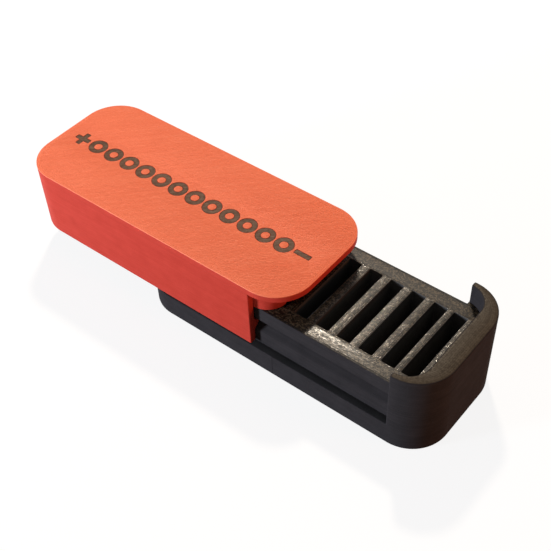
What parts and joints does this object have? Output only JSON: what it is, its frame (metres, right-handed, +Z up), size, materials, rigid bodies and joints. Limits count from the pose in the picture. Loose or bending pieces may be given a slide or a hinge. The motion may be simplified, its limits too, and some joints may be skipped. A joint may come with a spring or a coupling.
{
  "type": "coin cell storage case",
  "caption": "Pocket storage case for coin cells: a slotted tray that holds the cells on edge, with a sliding cover, closed at its rear end and guided by a rib and groove along each side.",
  "frame": {"origin": "middle of the tray's flat underside", "axes": "+X along the case towards the tray's tall end cap, +Y across it, +Z up out of the slots"},
  "size_m": [0.1165, 0.0324, 0.024],
  "materials": {
    "tray_plastic": "black printed plastic with fine horizontal layer lines and a rough, lightly sparkling deck",
    "cover_plastic": "orange printed plastic with fine layer lines on the walls and diagonal lines on top",
    "mark_plastic": "dark brown-black inlay level with the cover's top"
  },
  "bodies": {
    "tray": {"tray": "tray_plastic"},
    "cover": {"cover": "cover_plastic", "cover_marks": "mark_plastic"}
  },
  "joints": [
    {"name": "cover_slide", "type": "slide", "parent": "tray", "child": "cover", "axis": [1, 0, 0], "range_m": [-0.046, 0.0361]}
  ]
}
